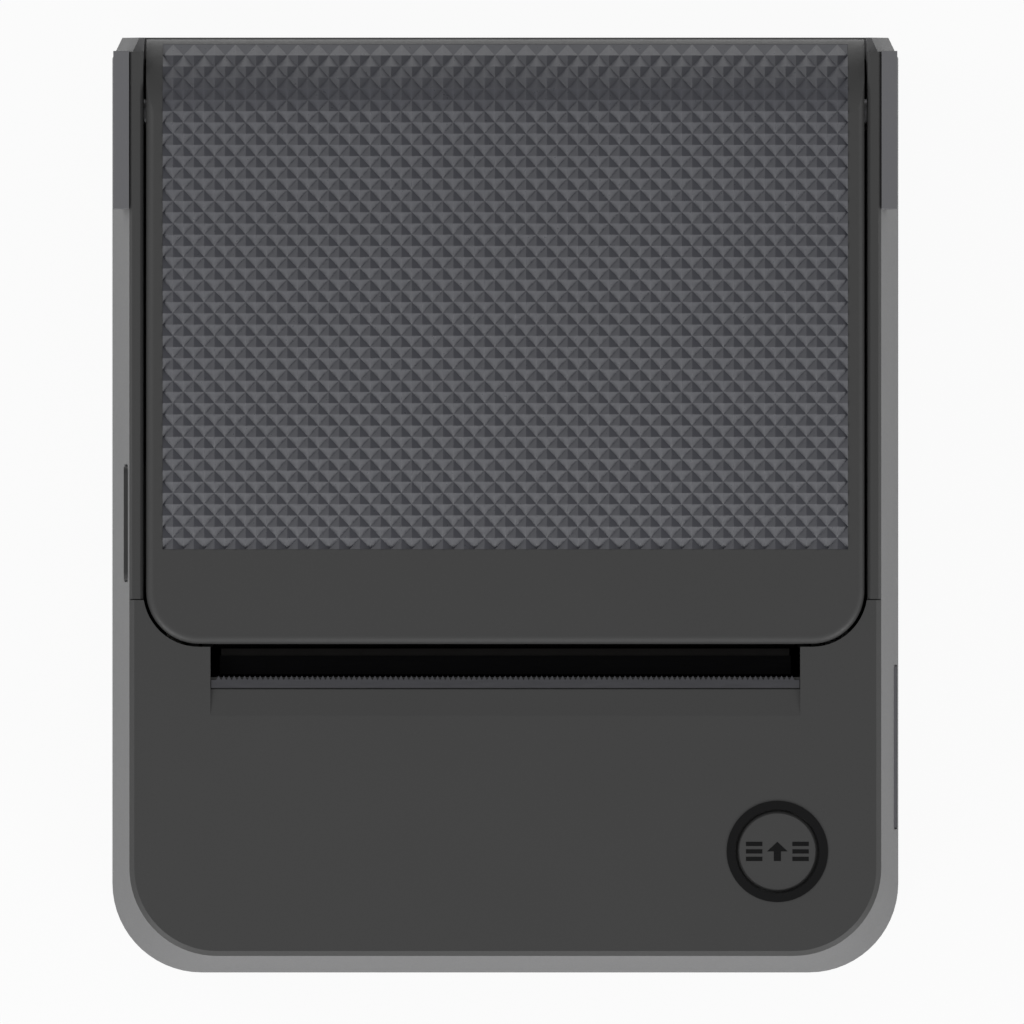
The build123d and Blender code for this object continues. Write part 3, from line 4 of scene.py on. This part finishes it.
import bpy
import numpy as np
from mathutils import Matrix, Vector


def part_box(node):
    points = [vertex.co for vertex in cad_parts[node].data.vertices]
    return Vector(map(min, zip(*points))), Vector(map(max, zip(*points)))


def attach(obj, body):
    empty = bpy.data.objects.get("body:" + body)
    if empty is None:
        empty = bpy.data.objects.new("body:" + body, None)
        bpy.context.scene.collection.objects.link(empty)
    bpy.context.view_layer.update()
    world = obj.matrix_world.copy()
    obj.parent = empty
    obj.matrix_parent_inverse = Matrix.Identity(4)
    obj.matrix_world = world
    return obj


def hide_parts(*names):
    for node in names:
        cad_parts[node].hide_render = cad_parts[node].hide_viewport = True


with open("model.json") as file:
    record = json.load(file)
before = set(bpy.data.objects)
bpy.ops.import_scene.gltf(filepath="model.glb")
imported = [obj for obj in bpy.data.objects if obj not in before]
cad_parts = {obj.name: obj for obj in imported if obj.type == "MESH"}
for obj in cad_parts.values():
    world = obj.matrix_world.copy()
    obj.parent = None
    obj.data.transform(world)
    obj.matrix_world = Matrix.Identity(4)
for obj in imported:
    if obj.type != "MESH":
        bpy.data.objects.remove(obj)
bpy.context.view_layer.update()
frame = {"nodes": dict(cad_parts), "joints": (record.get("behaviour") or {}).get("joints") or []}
nodes = frame["nodes"]

# Tray and case
# The bottom tray and the light grey case are ABS mouldings that meet at a stepped line round the body.
# The case leans in towards its rim so that it leaves the tool, and four screws from below hold it down.
NOISE_LOW, NOISE_HIGH = 0.3, 0.7  # most values of a noise lie between these
DRIFT_SPACING = 0.018
ABS_GRAIN, ABS_DEPTH = 0.0004, 0.00003


def linear(shade):
    """sRGB hex to linear light: c / 12.92 up to 0.04045, above it ((c + 0.055) / 1.055) ** 2.4."""
    c = np.array([int(shade[i : i + 2], 16) for i in (1, 3, 5)]) / 255.0
    return (*np.where(c <= 0.04045, c / 12.92, ((c + 0.055) / 1.055) ** 2.4), 1.0)


def add_node(tree, kind, settings, links):
    """Adds a node. Settings are input values or properties by name or number, and links are the sockets
    that feed its inputs."""
    node = tree.nodes.new(kind)
    for name, value in settings.items():
        if isinstance(name, int) or name in node.inputs:
            node.inputs[name].default_value = value
        else:
            setattr(node, name, value)
    for name, socket in links.items():
        tree.links.new(socket, node.inputs[name])
    return node


def blank_material(name):
    """A material with an empty node tree."""
    material = bpy.data.materials.new(name)
    material.use_nodes = True
    material.node_tree.nodes.clear()
    return material, material.node_tree


def add_gloss(tree, noise, low, high):
    """Roughness that goes from low to high with the noise."""
    return add_node(
        tree, "ShaderNodeMapRange",
        {"From Min": NOISE_LOW, "From Max": NOISE_HIGH, "To Min": low, "To Max": high},
        {"Value": noise},
    ).outputs["Result"]


def moulded(name, shade, cloud_shade, roughness, grain, depth, ior=1.53):
    """Moulded plastic or rubber. A fine noise of the tool's spark-eroded grain drives bump and roughness,
    and a slow noise over 18 mm drifts the colour between two shades."""
    material, tree = blank_material(name)
    place = add_node(tree, "ShaderNodeTexCoord", {}, {}).outputs["Object"]
    pits = add_node(
        tree, "ShaderNodeTexNoise", {"Scale": 1 / grain, "Detail": 3.0, "Roughness": 0.6}, {"Vector": place}
    ).outputs["Fac"]
    drift = add_node(
        tree, "ShaderNodeTexNoise", {"Scale": 1 / DRIFT_SPACING, "Detail": 2.0}, {"Vector": place}
    ).outputs["Fac"]
    colour = add_node(
        tree, "ShaderNodeMix",
        {"data_type": "RGBA", 6: linear(shade), 7: linear(cloud_shade)},
        {0: drift},
    ).outputs[2]
    gloss = add_gloss(tree, pits, roughness - 0.05, roughness + 0.07)
    relief = add_node(tree, "ShaderNodeBump", {"Strength": 0.5, "Distance": depth}, {"Height": pits})
    shell = add_node(
        tree, "ShaderNodeBsdfPrincipled", {"IOR": ior},
        {"Base Color": colour, "Roughness": gloss, "Normal": relief.outputs["Normal"]},
    )
    add_node(tree, "ShaderNodeOutputMaterial", {}, {"Surface": shell.outputs["BSDF"]})
    return material


def finish_with(material, *names):
    """Gives every material slot of these nodes the same finish."""
    for name in names:
        for place in nodes[name].material_slots:
            place.material = material


light_abs = moulded("moulded_abs_light_grey", "#6C6C6D", "#707071", 0.65, ABS_GRAIN, ABS_DEPTH)
dark_abs = moulded("moulded_abs_dark_grey", "#444445", "#474748", 0.52, ABS_GRAIN, ABS_DEPTH)
finish_with(light_abs, "case_body")
finish_with(dark_abs, "bottom_cover")

# Feet and port cover
# Four rubber pads are pressed into round recesses in the tray, and a soft cover closes the sockets
# on the right. Both are moulded elastomer, black pads and a mid grey cover, matt with a fine even grain.
RUBBER_GRAIN, RUBBER_DEPTH, RUBBER_IOR = 0.0003, 0.00002, 1.52
soft_rubber = moulded(
    "moulded_rubber_black", "#262627", "#2A2A2B", 0.75, RUBBER_GRAIN, RUBBER_DEPTH, RUBBER_IOR
)
cover_rubber = moulded(
    "moulded_rubber_grey", "#828287", "#86868B", 0.7, RUBBER_GRAIN, RUBBER_DEPTH, RUBBER_IOR
)
finish_with(soft_rubber, "rubber_feet")
finish_with(cover_rubber, "port_cover")

# Main board and its parts
# A green glass-fibre laminate with a solder mask, screwed to posts in the tray. Black epoxy chips,
# aluminium capacitors in black sleeves and white nylon headers stand on it.
TRACK_SCALE = 0.0044


def laminate(name):
    """Solder mask over copper: a brick pattern of 2.2 by 1.1 mm cells with 0.2 mm lines for the tracks."""
    material, tree = blank_material(name)
    place = add_node(tree, "ShaderNodeTexCoord", {}, {}).outputs["Object"]
    tracks = add_node(
        tree, "ShaderNodeTexBrick",
        {"Scale": 1 / TRACK_SCALE, "Mortar Size": 0.05, "Color1": linear("#1F5A36"),
         "Color2": linear("#1C5332"), "Mortar": linear("#2F7A4C")},
        {"Vector": place},
    )
    relief = add_node(
        tree, "ShaderNodeBump", {"Strength": 0.4, "Distance": 0.00003}, {"Height": tracks.outputs["Fac"]}
    )
    mask = add_node(
        tree, "ShaderNodeBsdfPrincipled", {"Roughness": 0.35, "IOR": 1.5},
        {"Base Color": tracks.outputs["Color"], "Normal": relief.outputs["Normal"]},
    )
    add_node(tree, "ShaderNodeOutputMaterial", {}, {"Surface": mask.outputs["BSDF"]})
    return material


finish_with(laminate("solder_masked_laminate"), "main_board", "button_board")
epoxy = moulded("moulded_epoxy_black", "#1B1B1D", "#202022", 0.45, 0.0003, 0.00002)
nylon = moulded("moulded_nylon_white", "#D8D6CE", "#DCDAD3", 0.4, 0.0005, 0.00002)
finish_with(epoxy, "board_chips", "capacitors", "dc_jack", "tact_switch")
finish_with(nylon, "board_connectors")

# Metal parts
# Shafts, pins and screws are turned or formed steel, the springs are drawn wire, and the motor's can
# and the socket are pressed sheet. All are bright, with fine lines left by the tool.
LINE_SPACING = 0.00015
LINE_DEPTH = 0.000004
ALONG_X, ACROSS_X = (0.05, 1.0, 1.0), (1.0, 0.05, 0.05)


def metal(name, shade, roughness, stretch, depth):
    """Bare metal. A noise of 0.15 mm spacing gives the tool's lines: stretch scales it on each axis, so
    a small number draws the lines out along that axis."""
    material, tree = blank_material(name)
    place = add_node(tree, "ShaderNodeTexCoord", {}, {}).outputs["Object"]
    turned = add_node(tree, "ShaderNodeMapping", {"Scale": stretch}, {"Vector": place})
    lines = add_node(
        tree, "ShaderNodeTexNoise", {"Scale": 1 / LINE_SPACING, "Detail": 2.0},
        {"Vector": turned.outputs["Vector"]},
    ).outputs["Fac"]
    gloss = add_gloss(tree, lines, roughness - 0.06, roughness + 0.1)
    relief = add_node(tree, "ShaderNodeBump", {"Strength": 0.3, "Distance": depth}, {"Height": lines})
    bare = add_node(
        tree, "ShaderNodeBsdfPrincipled", {"Base Color": linear(shade), "Metallic": 1.0},
        {"Roughness": gloss, "Normal": relief.outputs["Normal"]},
    )
    add_node(tree, "ShaderNodeOutputMaterial", {}, {"Surface": bare.outputs["BSDF"]})
    return material


turned_steel = metal("turned_steel", "#B9B9BC", 0.28, ACROSS_X, LINE_DEPTH)
drawn_wire = metal("drawn_spring_wire", "#A9A9AE", 0.3, (0.3, 0.3, 0.3), 0.000003)
pressed_sheet = metal("pressed_zinc_plated_sheet", "#A6A8AA", 0.38, (0.08, 1.0, 1.0), LINE_DEPTH)
finish_with(turned_steel, "hinge_pins", "idler_post", "motor_shaft", "platen_shaft", "latch_pin", "platen_clip")
finish_with(turned_steel, "case_screws", "board_screws", "frame_screws")
finish_with(drawn_wire, "head_springs", "latch_spring", "feed_spring")
finish_with(pressed_sheet, "stepper_motor", "usb_socket")

# Mechanism frame, gears and bearings
# The frame is glass-filled black nylon. The gears and the platen's bearings are natural white acetal,
# which is slippery and slightly waxy, pressed or snapped onto steel.
filled_nylon = moulded("moulded_filled_nylon_black", "#202021", "#252526", 0.5, 0.0005, 0.00004)
acetal = moulded("moulded_acetal_white", "#D5D3CB", "#DAD8D1", 0.38, 0.0006, 0.00001, 1.48)
finish_with(filled_nylon, "mechanism_frame", "latch_lever")
finish_with(acetal, "idler_gear", "motor_pinion", "platen_gear", "platen_bearings")

# Print head
# A black anodised aluminium heat sink carries a glazed ceramic strip whose edge holds the heating dots.
# Two springs press it to the platen, and the rod that it tilts on is as black.
anodised = metal("black_anodised_aluminium", "#151516", 0.5, ALONG_X, LINE_DEPTH)
glaze = moulded("glazed_ceramic_dark_brown", "#0E0A08", "#120D0A", 0.4, 0.002, 0.000005, 1.3)
finish_with(anodised, "head_plate", "head_rod")
finish_with(glaze, "head_ceramic")

# Roll bin
# A plain black ABS trough under the lid that the paper roll turns in. The bracket that carries the
# platen under the lid is moulded from the same stock.
bin_abs = moulded("moulded_abs_black", "#161617", "#19191A", 0.5, 0.0005, ABS_DEPTH)
finish_with(bin_abs, "roll_bin", "platen_holder")

# Front panel, rails and buttons
# Dark grey ABS trim caps the case: one panel in front of the lid and a rail on each side of it.
# The release button is the same moulding stock, and a black ring sets off the feed button.
ring_abs = moulded("moulded_abs_ring", "#0E0E0F", "#101011", 0.6, ABS_GRAIN, ABS_DEPTH, 1.3)
finish_with(ring_abs, "button_ring")
trim_abs = moulded("moulded_abs_trim", "#434343", "#464646", 0.5, ABS_GRAIN, ABS_DEPTH)
finish_with(trim_abs, "front_panel", "top_rails", "release_button", "feed_button")
cheek_abs = moulded("moulded_abs_cheek", "#737377", "#767679", 0.5, ABS_GRAIN, ABS_DEPTH)
finish_with(cheek_abs, "hinge_covers")

# Tear bar
# A strip of stainless steel, etched to a row of fine teeth and blackened, that cuts the paper.
# It lies on a shelf along the front of the slot.
blackened = metal("blackened_stainless_steel", "#66666A", 0.4, ALONG_X, LINE_DEPTH)
finish_with(blackened, "tear_bar")

# Mark on the feed button
# A paper-feed sign, an arrow between two stacks of lines, is pad-printed on the cap in dark ink.
# The outlines are in millimetres from the middle of the cap, the ink's height in metres.
ARROW = [(0, 1.35), (-1.45, 0.0), (-0.5, 0.0), (-0.5, -1.35), (0.5, -1.35), (0.5, 0.0), (1.45, 0.0)]
STACK_NEAR, STACK_FAR = 2.1, 4.4
LINE_PLACES, LINE_HALF = (-1.05, 0.0, 1.05), 0.3
INK_HALF = 0.00002


def link_object(name, data):
    """Makes an object of this data and links it to the scene."""
    made = bpy.data.objects.new(name, data)
    bpy.context.scene.collection.objects.link(made)
    return made


def plates(name, outlines, low, high):
    """Flat plates: each outline is carried straight up from z = low to z = high and closed at both ends."""
    points, faces = [], []
    for outline in outlines:
        first, count = len(points), len(outline)
        for z in (low, high):
            points += [(x, y, z) for x, y in outline]
        faces.append([first + count + k for k in range(count)])
        faces.append([first + k for k in reversed(range(count))])
        faces += [
            [first + k, first + (k + 1) % count, first + count + (k + 1) % count, first + count + k]
            for k in range(count)
        ]
    mesh = bpy.data.meshes.new(name)
    mesh.from_pydata(points, [], faces)
    return link_object(name, mesh)


cap_low, cap_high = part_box("feed_button")
cap_x, cap_y = (cap_low[0] + cap_high[0]) / 2, (cap_low[1] + cap_high[1]) / 2
marks = [np.array(ARROW)]
for side in (-1, 1):
    near, far = sorted((side * STACK_NEAR, side * STACK_FAR))
    for row in LINE_PLACES:
        low, high = row - LINE_HALF, row + LINE_HALF
        marks.append(np.array([(near, low), (far, low), (far, high), (near, high)]))
placed = [[tuple(p) for p in mark / 1000 + (cap_x, cap_y)] for mark in marks]
feed_mark = plates("feed_mark", placed, cap_high[2] - INK_HALF, cap_high[2] + INK_HALF)
ink = moulded("pad_printed_ink", "#0C0C0D", "#101011", 0.7, 0.0003, 0.00001, 1.3)
feed_mark.data.materials.append(ink)
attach(feed_mark, "feed")

# Lid shell
# One dark ABS moulding that closes the paper bin, flat on top and rolling down over the hinge.
# It swings on two steel pins and carries the platen under its front edge.
finish_with(trim_abs, "lid_shell")

# Faceted insert
# A separate blue-grey moulding glued into the lid's pocket, polished and covered with small
# four-sided points in a diamond lattice that runs on over the rolled rear edge.
FACET_COLUMNS, FACET_ROWS = 66, 45
FLOOR_R, VALLEY_R = 0.00932, 0.0099
POINT_RISE, RIM_LIFT = 0.0006, 0.00038
POCKET_GAP = 0.00002


def faceted_sheet(name, half, front, rear, hinge):
    """Closed sheet over a lattice in x and y, d behind the hinge and d = 0 before it. The top lies at
    z = hinge z + sqrt(r ** 2 - d ** 2) with r = VALLEY_R, plus POINT_RISE where column + row is odd, so each
    cell, split between its two low corners, is two facets of two neighbouring points. The last row has
    r = VALLEY_R + RIM_LIFT, flush with the shell. The underside has r = FLOOR_R."""
    x, y = np.meshgrid(
        np.linspace(-half, half, FACET_COLUMNS + 1), np.linspace(front, rear, FACET_ROWS + 1), indexing="ij"
    )
    column, row = np.meshgrid(np.arange(FACET_COLUMNS + 1), np.arange(FACET_ROWS + 1), indexing="ij")
    high = (column + row) % 2 == 1
    behind = np.maximum(y - hinge[0], 0.0)
    lift = POINT_RISE * high
    lift[:, -1] = RIM_LIFT
    top = hinge[1] + np.sqrt((VALLEY_R + lift) ** 2 - behind**2)
    base = hinge[1] + np.sqrt(FLOOR_R**2 - np.minimum(behind, 0.999 * FLOOR_R) ** 2)
    points = np.concatenate([np.stack([x, y, z], -1).reshape(-1, 3) for z in (top, base)])
    number = np.arange(x.size).reshape(x.shape)
    a, b = number[:-1, :-1], number[1:, :-1]
    c, d = number[1:, 1:], number[:-1, 1:]
    start_high = high[:-1, :-1][..., None]
    first = np.where(start_high, np.stack([a, b, d], -1), np.stack([a, b, c], -1))
    second = np.where(start_high, np.stack([b, c, d], -1), np.stack([a, c, d], -1))
    upper = np.concatenate([first.reshape(-1, 3), second.reshape(-1, 3)])
    lower = upper[:, ::-1] + x.size
    rim = np.concatenate([number[:, 0], number[-1, 1:], number[-2::-1, -1], number[0, -2:0:-1]])
    after = np.roll(rim, -1)
    rim_below, after_below = rim + x.size, after + x.size
    walls = np.concatenate(
        [np.stack([rim, after_below, after], -1), np.stack([rim, rim_below, after_below], -1)]
    )
    faces = np.concatenate([upper, lower, walls]).astype(np.int32)
    mesh = bpy.data.meshes.new(name)
    mesh.vertices.add(len(points))
    mesh.vertices.foreach_set("co", points.ravel())
    mesh.loops.add(faces.size)
    mesh.loops.foreach_set("vertex_index", faces.ravel())
    mesh.polygons.add(len(faces))
    mesh.polygons.foreach_set("loop_start", np.arange(0, faces.size, 3, dtype=np.int32))
    mesh.update(calc_edges=True)
    mesh.validate()
    mesh.polygons.foreach_set("use_smooth", np.zeros(len(mesh.polygons), dtype=bool))
    return link_object(name, mesh)


insert_low, insert_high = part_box("lid_insert")
hinge_at = next(j["pos_m"] for j in frame["joints"] if j["name"] == "lid_hinge")
lid_insert_faceted = faceted_sheet(
    "lid_insert_faceted", insert_high[0] - POCKET_GAP, insert_low[1] + POCKET_GAP, insert_high[1] - POCKET_GAP,
    (hinge_at[1], hinge_at[2]),
)
polished = moulded("polished_blue_grey_abs", "#4B4C53", "#4F5057", 0.32, 0.0006, 0.000004, 1.55)
lid_insert_faceted.data.materials.append(polished)
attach(lid_insert_faceted, "lid")
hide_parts("lid_insert")

# Platen roller
# Black nitrile rubber, vulcanised onto its steel shaft and ground true. It presses the paper on the
# print head and draws it out through the slot.
ground_rubber = moulded("ground_nitrile_rubber", "#161616", "#1A1A1A", 0.65, 0.0002, 0.00001, RUBBER_IOR)
finish_with(ground_rubber, "platen_rubber")

# Studio
# A pale table and plain soft light. The table is almost white to the camera, in reflections and through
# clear things, and it keeps the printer's shadow. The air is white to the camera and dimmer as a light.
TABLE_HALF, TABLE_DEPTH = 3.0, 0.01
TABLE_WHITE, AIR_LIGHT = 0.94, 0.34
TABLE_CORNERS = [(TABLE_HALF * i, TABLE_HALF * j) for i, j in ((-1, -1), (1, -1), (1, 1), (-1, 1))]
PRINTER_MIDDLE = np.array([0.0, 0.0, 0.04])

floor = plates("studio_floor", [TABLE_CORNERS], -TABLE_DEPTH, 0.0)
table, tree = blank_material("pale_table")
ray = add_node(tree, "ShaderNodeLightPath", {}, {})
seen = ray.outputs["Is Camera Ray"]
for kind in ("Is Glossy Ray", "Is Transmission Ray"):
    most = add_node(tree, "ShaderNodeMath", {"operation": "MAXIMUM"}, {0: seen, 1: ray.outputs[kind]})
    seen = most.outputs[0]
share = add_node(tree, "ShaderNodeMath", {"operation": "MULTIPLY", 1: TABLE_WHITE}, {0: seen})
matt = add_node(tree, "ShaderNodeBsdfDiffuse", {"Color": (0.8, 0.8, 0.8, 1.0)}, {})
white = add_node(tree, "ShaderNodeEmission", {"Color": (1.0, 1.0, 1.0, 1.0), "Strength": 1.0}, {})
both = add_node(
    tree, "ShaderNodeMixShader", {}, {0: share.outputs[0], 1: matt.outputs[0], 2: white.outputs[0]}
)
add_node(tree, "ShaderNodeOutputMaterial", {}, {"Surface": both.outputs[0]})
floor.data.materials.append(table)

world = bpy.data.worlds.new("studio_air")
bpy.context.scene.world = world
world.use_nodes = True
sky = world.node_tree
sky.nodes.clear()
camera_ray = add_node(sky, "ShaderNodeLightPath", {}, {}).outputs["Is Camera Ray"]
level = add_node(sky, "ShaderNodeMapRange", {"To Min": AIR_LIGHT, "To Max": 1.0}, {"Value": camera_ray})
air = add_node(
    sky, "ShaderNodeBackground", {"Color": (1.0, 1.0, 1.0, 1.0)}, {"Strength": level.outputs["Result"]}
)
add_node(sky, "ShaderNodeOutputWorld", {}, {"Surface": air.outputs[0]})


def softbox(name, spot, width, watts):
    """A square lamp of this width at spot, turned to the printer's middle."""
    lamp = bpy.data.lights.new(name, "AREA")
    lamp.size = width
    lamp.energy = watts
    made = link_object(name, lamp)
    made.location = spot
    aim = PRINTER_MIDDLE - np.array(spot)
    made.rotation_euler = (math.acos(-aim[2] / np.linalg.norm(aim)), 0.0, math.atan2(-aim[0], aim[1]))


softbox("front_softbox", (0.0, -1.2, 0.55), 0.5, 0.9)
softbox("front_left_softbox", (-0.8, -1.0, 0.5), 0.5, 5.0)
softbox("front_right_softbox", (0.8, -1.0, 0.5), 0.5, 4.8)
softbox("rear_left_softbox", (-0.9, 0.9, 0.55), 0.5, 0.9)
softbox("left_softbox", (-0.95, 0.4, 1.05), 0.4, 2.4)
softbox("right_softbox", (1.2, 0.0, 0.5), 0.5, 1.2)

# Camera
# Straight above, with a very long lens, so that the sides show only by their lean. Lens and sensor are in
# millimetres. The frame's width is what the picture spans at the level of the lid's top.
LENS, SENSOR = 1600.0, 36.0
FRAME_WIDTH = 0.1434
TOP_LEVEL = 0.063
VIEW_X, VIEW_Y = 0.00094, -0.00097
camera = link_object("camera", bpy.data.cameras.new("camera"))
camera.data.lens = LENS
camera.data.sensor_width = SENSOR
camera.data.clip_end = 20.0
camera.location = (VIEW_X, VIEW_Y, TOP_LEVEL + FRAME_WIDTH * LENS / SENSOR)
bpy.context.scene.camera = camera
bpy.context.scene.view_settings.view_transform = "Standard"
